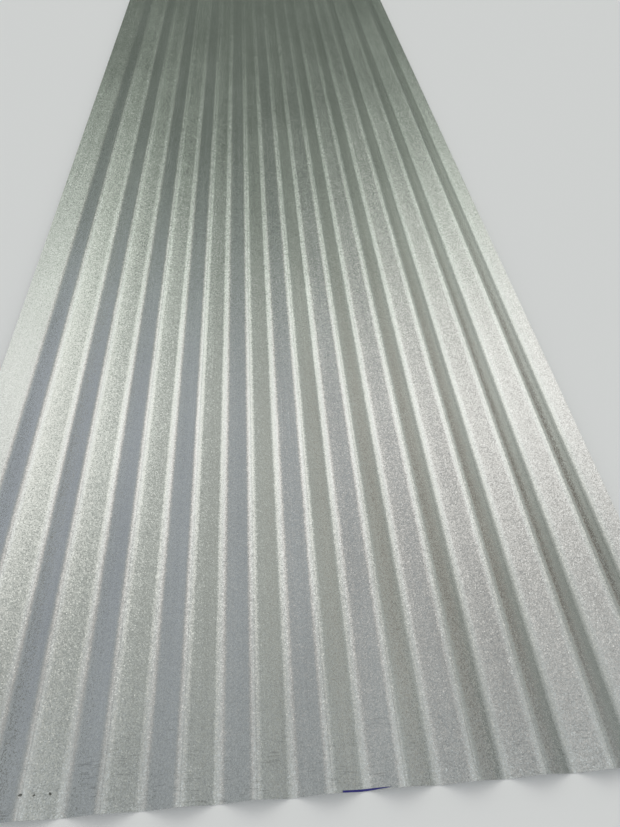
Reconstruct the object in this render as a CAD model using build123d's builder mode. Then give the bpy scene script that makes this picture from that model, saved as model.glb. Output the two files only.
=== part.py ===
# Corrugated roofing sheet, roll-formed in one piece from coated steel coil, lying flat.
#
# The waves run along Y, the width lies along X and the crests point up. The origin is at the
# middle of the sheet, on the level that its valleys rest on. All sizes are in millimetres.
#
# Each wave is a crest bend and a valley bend of one radius, joined by flat flanks that run
# tangent into both. The left edge ends in a wide lip at a low angle, and the right edge in a
# short lip that carries on the slope of the last flank.

from build123d import *
from math import atan, cos, degrees, radians, sin
import os

sheet_length = 3000.0
sheet_thickness = 0.4

pitch = 76.2  # from one crest to the next
wave_depth = 16.0  # from valley to crest, on one face of the sheet
flank_flat = 26.0  # flat part of a flank, measured along its slope
crest_count = 11

left_lip_width = 44.0  # from the first valley's lowest line out to the left edge
left_lip_angle = 17.0  # degrees above the level
right_lip_width = 25.0  # from the last valley's lowest line out to the right edge

# Two equal bends with a flat between them span half a pitch while they climb one wave depth.
# That gives the slope of the flat, and then the radius at the middle of the sheet's thickness.
half_pitch = pitch / 2
flank_slope = 2 * atan(wave_depth / (half_pitch + flank_flat))
bend_radius = (half_pitch - flank_flat * cos(flank_slope)) / (2 * sin(flank_slope))
flank_angle = degrees(flank_slope)

half_thickness = sheet_thickness / 2
sheet_width = left_lip_width + crest_count * pitch + right_lip_width


def lip_flat(lip_width, lip_angle):
    """Length of a lip's flat part, if its outer corner lies lip_width from the valley."""
    slope = radians(lip_angle)
    return (lip_width - (bend_radius + half_thickness) * sin(slope)) / cos(slope)


def draw_face(above_middle):
    """Draw one face of the sheet in section, above_middle over the middle of its thickness.

    Returns the points where that face meets the left and the right edge.
    """
    crest_radius = bend_radius + above_middle
    valley_radius = bend_radius - above_middle
    first_valley = (left_lip_width - sheet_width / 2, half_thickness + above_middle)

    left_bend = JernArc(first_valley, (-1, 0), valley_radius, -left_lip_angle)
    left_flat = lip_flat(left_lip_width, left_lip_angle)
    left_lip = PolarLine(left_bend @ 1, left_flat, direction=left_bend % 1)

    valley = JernArc(first_valley, (1, 0), valley_radius, flank_angle)
    for _ in range(crest_count):
        rise = PolarLine(valley @ 1, flank_flat, direction=valley % 1)
        crest = JernArc(rise @ 1, rise % 1, crest_radius, -2 * flank_angle)
        fall = PolarLine(crest @ 1, flank_flat, direction=crest % 1)
        valley = JernArc(fall @ 1, fall % 1, valley_radius, 2 * flank_angle)

    right_flat = lip_flat(right_lip_width, flank_angle)
    right_lip = PolarLine(valley @ 1, right_flat, direction=valley % 1)
    return left_lip @ 1, right_lip @ 1


with BuildPart() as corrugated_sheet:
    with BuildSketch(Plane.XZ) as section:
        with BuildLine():
            top_left, top_right = draw_face(half_thickness)
            bottom_left, bottom_right = draw_face(-half_thickness)
            Line(top_left, bottom_left)
            Line(top_right, bottom_right)
        make_face()
    extrude(amount=sheet_length / 2, both=True)

corrugated_sheet.part.label = "corrugated_sheet"

os.makedirs("parts", exist_ok=True)
export_step(corrugated_sheet.part, "parts/corrugated_sheet.step")
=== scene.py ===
from math import atan, cos, pi, radians, sin

import bmesh
import bpy
from mathutils import Matrix, Vector, noise


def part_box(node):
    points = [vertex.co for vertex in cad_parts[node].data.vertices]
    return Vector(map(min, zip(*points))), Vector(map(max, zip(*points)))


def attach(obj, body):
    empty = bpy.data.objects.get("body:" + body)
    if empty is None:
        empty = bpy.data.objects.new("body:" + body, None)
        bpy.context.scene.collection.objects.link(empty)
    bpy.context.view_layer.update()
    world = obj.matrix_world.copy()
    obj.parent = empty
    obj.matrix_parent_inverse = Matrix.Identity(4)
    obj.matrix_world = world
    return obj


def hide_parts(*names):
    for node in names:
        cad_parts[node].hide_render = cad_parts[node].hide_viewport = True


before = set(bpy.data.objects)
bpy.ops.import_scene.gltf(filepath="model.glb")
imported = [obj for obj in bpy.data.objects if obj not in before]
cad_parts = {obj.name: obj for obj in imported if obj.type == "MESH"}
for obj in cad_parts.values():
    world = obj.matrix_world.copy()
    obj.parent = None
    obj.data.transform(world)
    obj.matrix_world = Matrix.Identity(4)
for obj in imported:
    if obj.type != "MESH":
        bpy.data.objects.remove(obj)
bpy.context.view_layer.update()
sheetLow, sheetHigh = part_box("corrugated_sheet")

sheetForm = {
    "pitch": 0.0762,  # crest to crest
    "crestCount": 11,
    "gauge": 0.0004,  # steel with its coating
    "flankFlat": 0.026,  # flat part of a flank, along its slope
    "leftLipWidth": 0.044,  # first valley's lowest line to the left edge
    "leftLipAngle": radians(17),
    "rightLipWidth": 0.025,  # last valley's lowest line to the right edge
    "bendSteps": 12,
    "flatSteps": 2,
    "lipSteps": 4,
    "lengthSteps": 96,
    "swellHeight": 0.00012,  # how far the rolled sheet strays from a true wave
    "swellLength": 0.34,
    "swellSqueeze": 2.2,  # how much shorter the swells are across the sheet
    "swellSink": 0.2,  # share of that height by which they lie low
    "drag": 0.0004,  # how far the rolls drag each bend towards the left
    "dragFade": 0.02,  # strip along the edges where the drag fades out
    "cutStray": 0.0007,  # how far a shear cut strays along the length
    "cutFade": 0.04,  # strip along the ends where that stray fades out
    "cutRipple": 23,  # how closely its ripples follow each other
    "cutPattern": 4.7,  # picks one pattern of ripples
}


def edgesIn(geometry):
    return [g for g in geometry if isinstance(g, bmesh.types.BMEdge)]


def vertsIn(geometry):
    return [g for g in geometry if isinstance(g, bmesh.types.BMVert)]


def rollFlat(bm, edges, slope, run, steps):
    # pulls the sheet's free edge straight on, up the slope
    stride = Vector((cos(slope), 0, sin(slope))) * (run / steps)
    for _ in range(steps):
        grown = bmesh.ops.extrude_edge_only(bm, edges=edges)["geom"]
        verts = vertsIn(grown)
        bmesh.ops.translate(bm, verts=verts, vec=stride)
        fresh = set(verts)
        edges = [e for e in edgesIn(grown) if fresh.issuperset(e.verts)]
    return edges


def rollBend(bm, edges, slope, turn, radius, steps):
    # turns the free edge round the roll: up for a valley, down for a crest
    side = 1 if turn > 0 else -1
    centre = edges[0].verts[0].co + side * radius * Vector((-sin(slope), 0, cos(slope)))
    spun = bmesh.ops.spin(bm, geom=edges, cent=centre, axis=(0, -1, 0), angle=turn, steps=steps)
    return edgesIn(spun["geom_last"]), slope + turn


def rollSheet(form):
    length = sheetHigh.y - sheetLow.y
    depth = sheetHigh.z - sheetLow.z - form["gauge"]
    halfPitch = form["pitch"] / 2
    flat = form["flankFlat"]
    flank = 2 * atan(depth / (halfPitch + flat))
    bend = (halfPitch - flat * cos(flank)) / (2 * sin(flank))
    crestBend = bend + form["gauge"] / 2  # radii of the upper face
    valleyBend = bend - form["gauge"] / 2

    def lipFlat(width, angle):
        return (width - (bend + form["gauge"] / 2) * sin(angle)) / cos(angle)

    tilt = form["leftLipAngle"]
    leftFlat = lipFlat(form["leftLipWidth"], tilt)
    rightFlat = lipFlat(form["rightLipWidth"], flank)
    startX = sheetLow.x + form["leftLipWidth"] - valleyBend * sin(tilt) - leftFlat * cos(tilt)
    startZ = form["gauge"] + valleyBend * (1 - cos(tilt)) + leftFlat * sin(tilt)

    bm = bmesh.new()
    corner = bm.verts.new((startX, sheetLow.y, startZ))
    line = bmesh.ops.extrude_vert_indiv(bm, verts=[corner])
    bmesh.ops.translate(bm, verts=line["verts"], vec=(0, length, 0))
    bmesh.ops.subdivide_edges(bm, edges=line["edges"], cuts=form["lengthSteps"] - 1)

    edges = rollFlat(bm, bm.edges[:], -tilt, leftFlat, form["lipSteps"])
    edges, slope = rollBend(bm, edges, -tilt, tilt + flank, valleyBend, form["bendSteps"])
    for _ in range(form["crestCount"]):
        edges = rollFlat(bm, edges, slope, flat, form["flatSteps"])
        edges, slope = rollBend(bm, edges, slope, -2 * flank, crestBend, form["bendSteps"])
        edges = rollFlat(bm, edges, slope, flat, form["flatSteps"])
        edges, slope = rollBend(bm, edges, slope, 2 * flank, valleyBend, form["bendSteps"])
    rollFlat(bm, edges, slope, rightFlat, form["lipSteps"])
    return bm


def settleSheet(bm, form):
    # a rolled sheet is never quite true: it swells, its bends are dragged, and the shear wanders
    firstValley = sheetLow.x + form["leftLipWidth"]
    for v in bm.verts:
        turn = 4 * pi * (v.co.x - firstValley) / form["pitch"]
        fromEdge = min(1, (sheetHigh.x - abs(v.co.x)) / form["dragFade"])
        v.co.x -= form["drag"] * fromEdge * cos(turn)
        place = Vector((v.co.x * form["swellSqueeze"], v.co.y, 0)) / form["swellLength"]
        v.co.z += form["swellHeight"] * (noise.noise(place) - form["swellSink"])
        nearEnd = max(0, 1 - (sheetHigh.y - abs(v.co.y)) / form["cutFade"])
        if nearEnd > 0:
            wander = noise.noise(Vector((v.co.x * form["cutRipple"], v.co.y, form["cutPattern"]))) + 1
            v.co.y -= (1 if v.co.y > 0 else -1) * form["cutStray"] * nearEnd * wander / 2


def thickenSheet(bm, form):
    bmesh.ops.remove_doubles(bm, verts=bm.verts[:], dist=1e-6)
    bmesh.ops.recalc_face_normals(bm, faces=bm.faces[:])
    if sum(f.normal.z for f in bm.faces) < 0:
        bmesh.ops.reverse_faces(bm, faces=bm.faces[:])
    bmesh.ops.solidify(bm, geom=bm.faces[:], thickness=form["gauge"])
    narrow = 1.5 * form["gauge"]  # only the faces of the cut edges are narrower
    for f in bm.faces:
        f.smooth = True
        if min(e.calc_length() for e in f.edges) < narrow:
            f.material_index = 1
    for e in bm.edges:
        e.smooth = len({f.material_index for f in e.link_faces}) == 1


def addNode(tree, kind, values=None, **settings):
    node = tree.nodes.new(kind)
    for key, value in settings.items():
        setattr(node, key, value)
    for key, value in (values or {}).items():
        if isinstance(value, bpy.types.NodeSocket):
            tree.links.new(value, node.inputs[key])
        else:
            node.inputs[key].default_value = value
    return node


def mathNode(tree, operation, *values):
    return addNode(tree, "ShaderNodeMath", dict(enumerate(values)), operation=operation).outputs[0]


def vectorNode(tree, operation, *values):
    return addNode(tree, "ShaderNodeVectorMath", dict(enumerate(values)), operation=operation).outputs[0]


def scaleVector(tree, vector, factor):
    values = {0: vector, "Scale": factor}
    return addNode(tree, "ShaderNodeVectorMath", values, operation="SCALE").outputs[0]


def easeNode(tree, value, start, end, low=0.0, high=1.0):
    # runs smoothly from low to high as the value goes from start to end
    values = {"Value": value, "From Min": start, "From Max": end, "To Min": low, "To Max": high}
    return addNode(tree, "ShaderNodeMapRange", values, interpolation_type="SMOOTHSTEP").outputs["Result"]


def noiseNode(tree, place, detail=2.0, roughness=0.5):
    values = {"Vector": place, "Scale": 1.0, "Detail": detail, "Roughness": roughness}
    return addNode(tree, "ShaderNodeTexNoise", values).outputs["Fac"]


def mixColour(tree, factor, first, second):
    # 6 and 7 are the colour inputs A and B, and output 2 is their mix
    values = {"Factor": factor, 6: first, 7: second}
    return addNode(tree, "ShaderNodeMix", values, data_type="RGBA").outputs[2]


def startGroup(name, inputs, outputs):
    tree = bpy.data.node_groups.new(name, "ShaderNodeTree")
    for label, kind, value in inputs:
        socket = tree.interface.new_socket(label, in_out="INPUT", socket_type="NodeSocket" + kind)
        if value is not None:
            socket.default_value = value
    for label, kind in outputs:
        tree.interface.new_socket(label, in_out="OUTPUT", socket_type="NodeSocket" + kind)
    given = tree.nodes.new("NodeGroupInput").outputs
    result = tree.nodes.new("NodeGroupOutput").inputs
    return tree, given, result


def useGroup(tree, group, values):
    return addNode(tree, "ShaderNodeGroup", values, node_tree=group).outputs


def streakGroup():
    # soft streaks of any length and width, between -1 and 1
    inputs = [("Vector", "Vector", None), ("Grain", "Vector", (0.01, 0.5, 0.01))]
    tree, given, result = startGroup("streaks", inputs, [("Streak", "Float")])
    cells = vectorNode(tree, "DIVIDE", given["Vector"], given["Grain"])
    value = noiseNode(tree, cells, 3.0, 0.6)
    tree.links.new(easeNode(tree, value, 0.28, 0.72, -1.0, 1.0), result["Streak"])
    return tree


def scratchGroup():
    # straight fine scratches of a chosen turn, length and width, in loose patches
    inputs = [("Vector", "Vector", None), ("Turn", "Float", 0.0),
              ("Grain", "Vector", (0.02, 0.0008, 0.02)), ("Patch", "Vector", (0.05, 0.02, 0.05)),
              ("Share", "Float", 0.6)]
    tree, given, result = startGroup("scratches", inputs, [("Mask", "Float")])
    turned = addNode(tree, "ShaderNodeVectorRotate", {"Vector": given["Vector"], "Angle": given["Turn"]},
                     rotation_type="Z_AXIS").outputs[0]
    line = noiseNode(tree, vectorNode(tree, "DIVIDE", turned, given["Grain"]), 0.0)
    line = easeNode(tree, line, 0.6, 0.7)
    patch = noiseNode(tree, vectorNode(tree, "DIVIDE", turned, given["Patch"]), 1.0)
    patch = easeNode(tree, patch, given["Share"], mathNode(tree, "ADD", given["Share"], 0.06))
    tree.links.new(mathNode(tree, "MULTIPLY", line, patch), result["Mask"])
    return tree


def fleckGroup():
    # one ragged spot at a chosen place on the sheet, frayed by fine noise
    inputs = [("Vector", "Vector", None), ("Place", "Vector", (0, 0, 0)),
              ("Reach", "Vector", (0.002, 0.002, 1))]
    tree, given, result = startGroup("fleck", inputs, [("Mask", "Float")])
    away = vectorNode(tree, "SUBTRACT", given["Vector"], given["Place"])
    away = vectorNode(tree, "DIVIDE", away, given["Reach"])
    noiseValues = {"Vector": given["Vector"], "Scale": 700.0, "Detail": 2.0}
    ragged = addNode(tree, "ShaderNodeTexNoise", noiseValues).outputs["Color"]
    away = vectorNode(tree, "ADD", away, scaleVector(tree, ragged, 2.0))
    away = vectorNode(tree, "SUBTRACT", away, (1, 1, 1))
    distance = addNode(tree, "ShaderNodeVectorMath", {0: away}, operation="LENGTH").outputs["Value"]
    tree.links.new(easeNode(tree, distance, 1.1, 0.6), result["Mask"])
    return tree


streaks = streakGroup()
scratches = scratchGroup()
fleck = fleckGroup()

coating = {
    "tone": (0.565, 0.583, 0.565),
    "roughness": 0.155,
    "spangleSize": 0.0011,  # crystals of the coating
    "spangleLean": 0.035,  # how far most crystals lean, in radians
    "sparkleLean": 0.085,  # how much further the few that sparkle do
    "spangleTone": 0.12,
    "fineStreakGrain": (0.0016, 0.5, 0.0016),
    "fineStreakTone": 0.018,
    "wideStreakGrain": (0.011, 0.9, 0.02),
    "wideStreakTone": 0.03,
    "wideStreakRoughness": 0.015,
    "cloudGrain": (0.16, 0.38, 0.3),
    "cloudTone": 0.05,
    "cloudRoughness": 0.025,
    # long fine rubs along the sheet, and short cross lines near its ends
    "rub": {"Turn": 0.02, "Grain": (0.0009, 0.16, 0.01), "Patch": (0.05, 0.3, 0.05), "Share": 0.55},
    "rubTone": 0.1,
    "chatter": {"Turn": 0.03, "Grain": (0.016, 0.0011, 0.016), "Patch": (0.03, 0.018, 0.03),
                "Share": 0.54},
    "chatterReach": 0.13,  # how far they run in from the ends
    "chatterTone": -0.24,
    "chatterRoughness": 0.15,
    "paintedCrestShade": 0.0011,  # half the width of a painted shade line along each crest, which splits the crest highlight
    "paintedCrestShadeShift": 0.0008,  # how far it lies right of the middle of a true wave
    "paintedCrestShadeTone": -0.14,
    "lipShadeTone": 0.85,  # the wide lip, dulled by handling
    "lipShadeFade": (-0.001, 0.003),  # painted shade that darkens the wide lip
    "inkTone": (0.014, 0.012, 0.17),
    "inkFrom": 0.0195,  # a marker's stroke along the near end
    "inkTo": 0.0765,
    "inkFromEnd": 0.0016,
    "inkHalfWidth": 0.00105,
    "inkWander": 0.0004,
    "inkTail": 0.03,  # where the stroke grows thin
    "dirtTone": (0.09, 0.09, 0.08),
    "coverRoughness": 0.25,  # how much rougher ink and dirt are
    "flecks": [((-0.2955, -1.4788, 0.0173), (0.0024, 0.0013, 0.01)),
               ((-0.2840, -1.4795, 0.0142), (0.0010, 0.0021, 0.01)),
               ((-0.2708, -1.4789, 0.0052), (0.0012, 0.0019, 0.01)),
               ((0.1271, -0.8805, 0.0007), (0.0010, 0.0013, 0.01))],  # place and reach
}


def coatedSteel(look):
    made = bpy.data.materials.new("coatedSteel")
    made.use_nodes = True
    tree = made.node_tree
    shader = tree.nodes["Principled BSDF"]

    place = addNode(tree, "ShaderNodeTexCoord").outputs["Object"]
    axes = addNode(tree, "ShaderNodeSeparateXYZ", {0: place}).outputs

    # crystals, each with its own lean and tone
    crystals = addNode(tree, "ShaderNodeTexVoronoi", {"Vector": place, "Scale": 1 / look["spangleSize"]})
    lean = vectorNode(tree, "MULTIPLY_ADD", crystals.outputs["Color"], (2, 2, 2), (-1, -1, -1))
    sparkle = vectorNode(tree, "MULTIPLY", lean, vectorNode(tree, "MULTIPLY", lean, lean))
    lean = vectorNode(tree, "ADD", scaleVector(tree, lean, look["spangleLean"]),
                      scaleVector(tree, sparkle, look["sparkleLean"]))
    facing = addNode(tree, "ShaderNodeNewGeometry").outputs["Normal"]
    normal = vectorNode(tree, "ADD", facing, lean)
    tree.links.new(vectorNode(tree, "NORMALIZE", normal), shader.inputs["Normal"])
    crystalTone = addNode(tree, "ShaderNodeSeparateColor", {0: crystals.outputs["Color"]}).outputs[2]

    # marks of the rolls and of handling, and a painted shade line along each crest
    fineStreak = useGroup(tree, streaks, {"Vector": place, "Grain": look["fineStreakGrain"]})["Streak"]
    wideStreak = useGroup(tree, streaks, {"Vector": place, "Grain": look["wideStreakGrain"]})["Streak"]
    cloud = useGroup(tree, streaks, {"Vector": place, "Grain": look["cloudGrain"]})["Streak"]
    rub = useGroup(tree, scratches, {"Vector": place, **look["rub"]})["Mask"]
    chatter = useGroup(tree, scratches, {"Vector": place, **look["chatter"]})["Mask"]
    # painted shade: a darker line just right of the middle of each crest, shaping its highlight
    fromValley = mathNode(tree, "SUBTRACT", axes["X"], sheetLow.x + sheetForm["leftLipWidth"])
    halfPitch = sheetForm["pitch"] / 2
    fromCrest = mathNode(tree, "SUBTRACT", fromValley, halfPitch + look["paintedCrestShadeShift"])
    paintedCrestShade = mathNode(tree, "PINGPONG", fromCrest, halfPitch)
    paintedCrestShade = easeNode(tree, paintedCrestShade, look["paintedCrestShade"], look["paintedCrestShade"] * 0.4)
    paintedCrestShade = mathNode(tree, "MULTIPLY", paintedCrestShade, mathNode(tree, "GREATER_THAN", fromValley, 0.0))
    toEnd = mathNode(tree, "SUBTRACT", sheetHigh.y, mathNode(tree, "ABSOLUTE", axes["Y"]))
    chatter = mathNode(tree, "MULTIPLY", chatter, easeNode(tree, toEnd, look["chatterReach"], 0.0))

    tone = mathNode(tree, "MULTIPLY_ADD", crystalTone, 2 * look["spangleTone"], 1 - look["spangleTone"])
    tone = mathNode(tree, "MULTIPLY_ADD", fineStreak, look["fineStreakTone"], tone)
    tone = mathNode(tree, "MULTIPLY_ADD", wideStreak, look["wideStreakTone"], tone)
    tone = mathNode(tree, "MULTIPLY_ADD", cloud, look["cloudTone"], tone)
    tone = mathNode(tree, "MULTIPLY_ADD", rub, look["rubTone"], tone)
    tone = mathNode(tree, "MULTIPLY_ADD", paintedCrestShade, look["paintedCrestShadeTone"], tone)
    tone = mathNode(tree, "MULTIPLY_ADD", chatter, look["chatterTone"], tone)
    # painted shade: the wide lip left of the first valley is darkened
    paintedLipShade = easeNode(tree, fromValley, *look["lipShadeFade"], look["lipShadeTone"], 1.0)
    tone = mathNode(tree, "MULTIPLY", tone, paintedLipShade)
    colour = scaleVector(tree, look["tone"], tone)

    # a marker's stroke, and flecks of dirt
    wander = mathNode(tree, "SINE", mathNode(tree, "MULTIPLY", axes["X"], 70.0))
    stroke = mathNode(tree, "MULTIPLY_ADD", wander, look["inkWander"], axes["Y"])
    stroke = mathNode(tree, "SUBTRACT", stroke, sheetLow.y + look["inkFromEnd"])
    stroke = mathNode(tree, "ABSOLUTE", stroke)
    fade = easeNode(tree, axes["X"], look["inkTo"] - look["inkTail"], look["inkTo"], 1.0, 0.2)
    stroke = mathNode(tree, "DIVIDE", stroke, mathNode(tree, "MULTIPLY", fade, look["inkHalfWidth"]))
    ink = easeNode(tree, stroke, 1.25, 0.8)
    inkStart = easeNode(tree, axes["X"], look["inkFrom"], look["inkFrom"] + 0.002)
    inkStop = easeNode(tree, axes["X"], look["inkTo"], look["inkTo"] - 0.008)
    ink = mathNode(tree, "MULTIPLY", mathNode(tree, "MULTIPLY", ink, inkStart), inkStop)
    dirt = None
    for spot, reach in look["flecks"]:
        mask = useGroup(tree, fleck, {"Vector": place, "Place": spot, "Reach": reach})["Mask"]
        dirt = mask if dirt is None else mathNode(tree, "MAXIMUM", dirt, mask)
    upward = easeNode(tree, addNode(tree, "ShaderNodeSeparateXYZ", {0: facing}).outputs["Z"], 0.0, 0.2)
    covered = mathNode(tree, "MULTIPLY", mathNode(tree, "MAXIMUM", ink, dirt), upward)
    cover = mixColour(tree, ink, (*look["dirtTone"], 1), (*look["inkTone"], 1))
    tree.links.new(mixColour(tree, covered, colour, cover), shader.inputs["Base Color"])
    tree.links.new(mathNode(tree, "SUBTRACT", 1.0, covered), shader.inputs["Metallic"])

    rough = mathNode(tree, "MULTIPLY_ADD", wideStreak, look["wideStreakRoughness"], look["roughness"])
    rough = mathNode(tree, "MULTIPLY_ADD", cloud, look["cloudRoughness"], rough)
    rough = mathNode(tree, "MULTIPLY_ADD", chatter, look["chatterRoughness"], rough)
    rough = mathNode(tree, "MULTIPLY_ADD", covered, look["coverRoughness"], rough)
    tree.links.new(rough, shader.inputs["Roughness"])
    return made


cutEdge = {
    "tone": (0.33, 0.33, 0.34),
    "roughness": 0.42,
    "grain": (0.0011, 0.0011, 0.0002),
    "grainTone": 0.3,
}


def cutSteel(look):
    made = bpy.data.materials.new("cutSteel")
    made.use_nodes = True
    tree = made.node_tree
    shader = tree.nodes["Principled BSDF"]
    shader.inputs["Metallic"].default_value = 1
    shader.inputs["Roughness"].default_value = look["roughness"]
    place = addNode(tree, "ShaderNodeTexCoord").outputs["Object"]
    grain = useGroup(tree, streaks, {"Vector": place, "Grain": look["grain"]})["Streak"]
    bright = mathNode(tree, "MULTIPLY_ADD", grain, look["grainTone"], 1.0)
    tree.links.new(scaleVector(tree, look["tone"], bright), shader.inputs["Base Color"])
    return made


print("rolling the sheet")
bm = rollSheet(sheetForm)
settleSheet(bm, sheetForm)
thickenSheet(bm, sheetForm)
mesh = bpy.data.meshes.new("waveSheet")
bm.to_mesh(mesh)
bm.free()
mesh.materials.append(coatedSteel(coating))
mesh.materials.append(cutSteel(cutEdge))
waveSheet = bpy.data.objects.new("waveSheet", mesh)
bpy.context.collection.objects.link(waveSheet)
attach(waveSheet, "root")
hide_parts("corrugated_sheet")
print("triangles", sum(len(p.vertices) - 2 for p in mesh.polygons))

studio = {
    "floorTone": (0.84, 0.84, 0.83, 1),
    "floorSize": 60,
    "floorGap": 0.0003,  # keeps the floor clear of the valleys
    # levels of light from overhead and from the sides, from the back (-1) to the front (1)
    "overhead": [(-1.0, 0.5), (-0.8, 0.82), (-0.5, 1.15), (-0.15, 0.95), (0.0, 0.74), (0.14, 0.66),
                 (0.33, 0.87), (0.5, 1.3), (0.66, 1.36), (0.77, 1.14), (0.83, 0.86), (0.88, 0.54),
                 (0.93, 0.24), (0.965, 0.19)],
    "sides": [(-1.0, 0.5), (-0.6, 0.37), (-0.15, 0.4), (0.02, 0.47), (0.13, 0.52), (0.35, 0.53),
              (0.5, 0.565), (0.68, 0.585), (0.8, 0.44), (0.88, 0.25), (0.935, 0.19)],
    # share of the overhead light, by degrees from straight up towards the left (-) or the right
    "across": [(-180, 0), (-66, 0), (-54, 0.0), (-44, 0.08), (-34, 0.38), (-26, 0.76), (-18, 0.98),
               (-12, 1.1), (-6, 1.06), (1, 1.02), (20, 1.04), (30, 0.92), (38, 0.56), (46, 0.16),
               (54, 0.06), (66, 0.03), (90, 0)],
    "tints": [(-180, (0.88, 0.93, 1.04)), (-78, (0.88, 0.93, 1.04)), (-60, (0.94, 0.985, 1.035)),
              (-48, (0.979, 1.003, 1.035)), (-38, (1.025, 0.996, 0.985)), (-25, (1.045, 1.0, 0.98)),
              (-14, (1.025, 1.0, 0.99)), (0, (1.01, 1.004, 0.985)), (15, (1.007, 1.004, 0.974)),
              (28, (1.015, 1.001, 0.957)), (38, (0.99, 1.006, 0.958)), (48, (0.985, 1.01, 0.965)),
              (66, (1.0, 1.01, 0.94)), (72, (0.99, 0.95, 0.87)), (80, (0.6, 0.55, 0.49)),
              (86, (0.31, 0.28, 0.245)), (96, (0.28, 0.25, 0.21))],
    "frontTint": (0.9, 1.04, 0.885),
    "frontTintFrom": 0.62,
    "backTint": (0.96, 1.0, 1.025),
    "backTintFrom": 0.4,
    "backTintTo": -0.2,
}


def paleFloor(look):
    bm = bmesh.new()
    bmesh.ops.create_grid(bm, x_segments=1, y_segments=1, size=look["floorSize"] / 2)
    bmesh.ops.translate(bm, verts=bm.verts[:], vec=(0, 0, sheetLow.z - look["floorGap"]))
    mesh = bpy.data.meshes.new("floor")
    bm.to_mesh(mesh)
    bm.free()
    made = bpy.data.materials.new("paleFloor")
    made.use_nodes = True
    shader = made.node_tree.nodes["Principled BSDF"]
    shader.inputs["Base Color"].default_value = look["floorTone"]
    shader.inputs["Roughness"].default_value = 0.9
    mesh.materials.append(made)
    floor = bpy.data.objects.new("floor", mesh)
    bpy.context.collection.objects.link(floor)


def rampNode(tree, value, stops, reach):
    # a level or colour that runs smoothly through the stops as the value goes from -reach to reach;
    # a stop holds no more than 1, so the levels go in halved
    place = mathNode(tree, "MULTIPLY_ADD", value, 0.5 / reach, 0.5)
    node = addNode(tree, "ShaderNodeValToRGB", {0: place})
    ramp = node.color_ramp
    ramp.interpolation = "CARDINAL"
    for at, level in stops:
        stop = ramp.elements[0] if at == -reach else ramp.elements.new(0.5 + 0.5 * at / reach)
        shade = level if isinstance(level, tuple) else (level, level, level)
        stop.color = (shade[0] / 2, shade[1] / 2, shade[2] / 2, 1)
    ramp.elements[-1].color = ramp.elements[-2].color
    return scaleVector(tree, node.outputs["Color"], 2.0)


def softLight(look):
    # a broad soft light from above and in front, with weaker light from the sides
    world = bpy.data.worlds.new("studio")
    bpy.context.scene.world = world
    world.use_nodes = True
    tree = world.node_tree
    direction = addNode(tree, "ShaderNodeTexCoord").outputs["Generated"]
    axes = addNode(tree, "ShaderNodeSeparateXYZ", {0: direction}).outputs
    lateral = mathNode(tree, "DEGREES", mathNode(tree, "ARCTAN2", axes["X"], axes["Z"]))
    overhead = rampNode(tree, axes["Y"], look["overhead"], 1)
    sides = rampNode(tree, axes["Y"], look["sides"], 1)
    share = rampNode(tree, lateral, look["across"], 180)
    level = mathNode(tree, "MULTIPLY_ADD", share, mathNode(tree, "SUBTRACT", overhead, sides), sides)
    tint = rampNode(tree, lateral, look["tints"], 180)
    front = easeNode(tree, axes["Y"], look["frontTintFrom"], 1.0)
    back = easeNode(tree, axes["Y"], look["backTintFrom"], look["backTintTo"])
    tint = mixColour(tree, front, tint, (*look["frontTint"], 1))
    tint = mixColour(tree, back, tint, (*look["backTint"], 1))
    tree.links.new(scaleVector(tree, tint, level), tree.nodes["Background"].inputs["Color"])


view = {
    "place": (-0.0689, -1.5497, 0.7003),
    "yaw": radians(-9.93),  # left of the sheet's length
    "dip": radians(51.32),  # below the level
    "roll": radians(-6.92),
    "focal": 567,  # in pixels of a frame 827 high
    "frameHeight": 827,
}


def photoCamera(look):
    cam = bpy.data.cameras.new("camera")
    cam.sensor_width = 36
    cam.lens = look["focal"] / look["frameHeight"] * cam.sensor_width
    cam.clip_start = 0.01
    made = bpy.data.objects.new("camera", cam)
    yaw, dip, roll = look["yaw"], look["dip"], look["roll"]
    forward = Vector((-sin(yaw) * cos(dip), cos(yaw) * cos(dip), -sin(dip)))
    right = Vector((cos(yaw), sin(yaw), 0))
    down = forward.cross(right)
    turnedRight = cos(roll) * right + sin(roll) * down
    turnedDown = -sin(roll) * right + cos(roll) * down
    turn = Matrix((turnedRight, -turnedDown, -forward)).transposed()
    made.matrix_world = Matrix.Translation(look["place"]) @ turn.to_4x4()
    bpy.context.collection.objects.link(made)
    bpy.context.scene.camera = made


print("setting the studio")
paleFloor(studio)
softLight(studio)
photoCamera(view)
bpy.context.scene.view_settings.view_transform = "Standard"
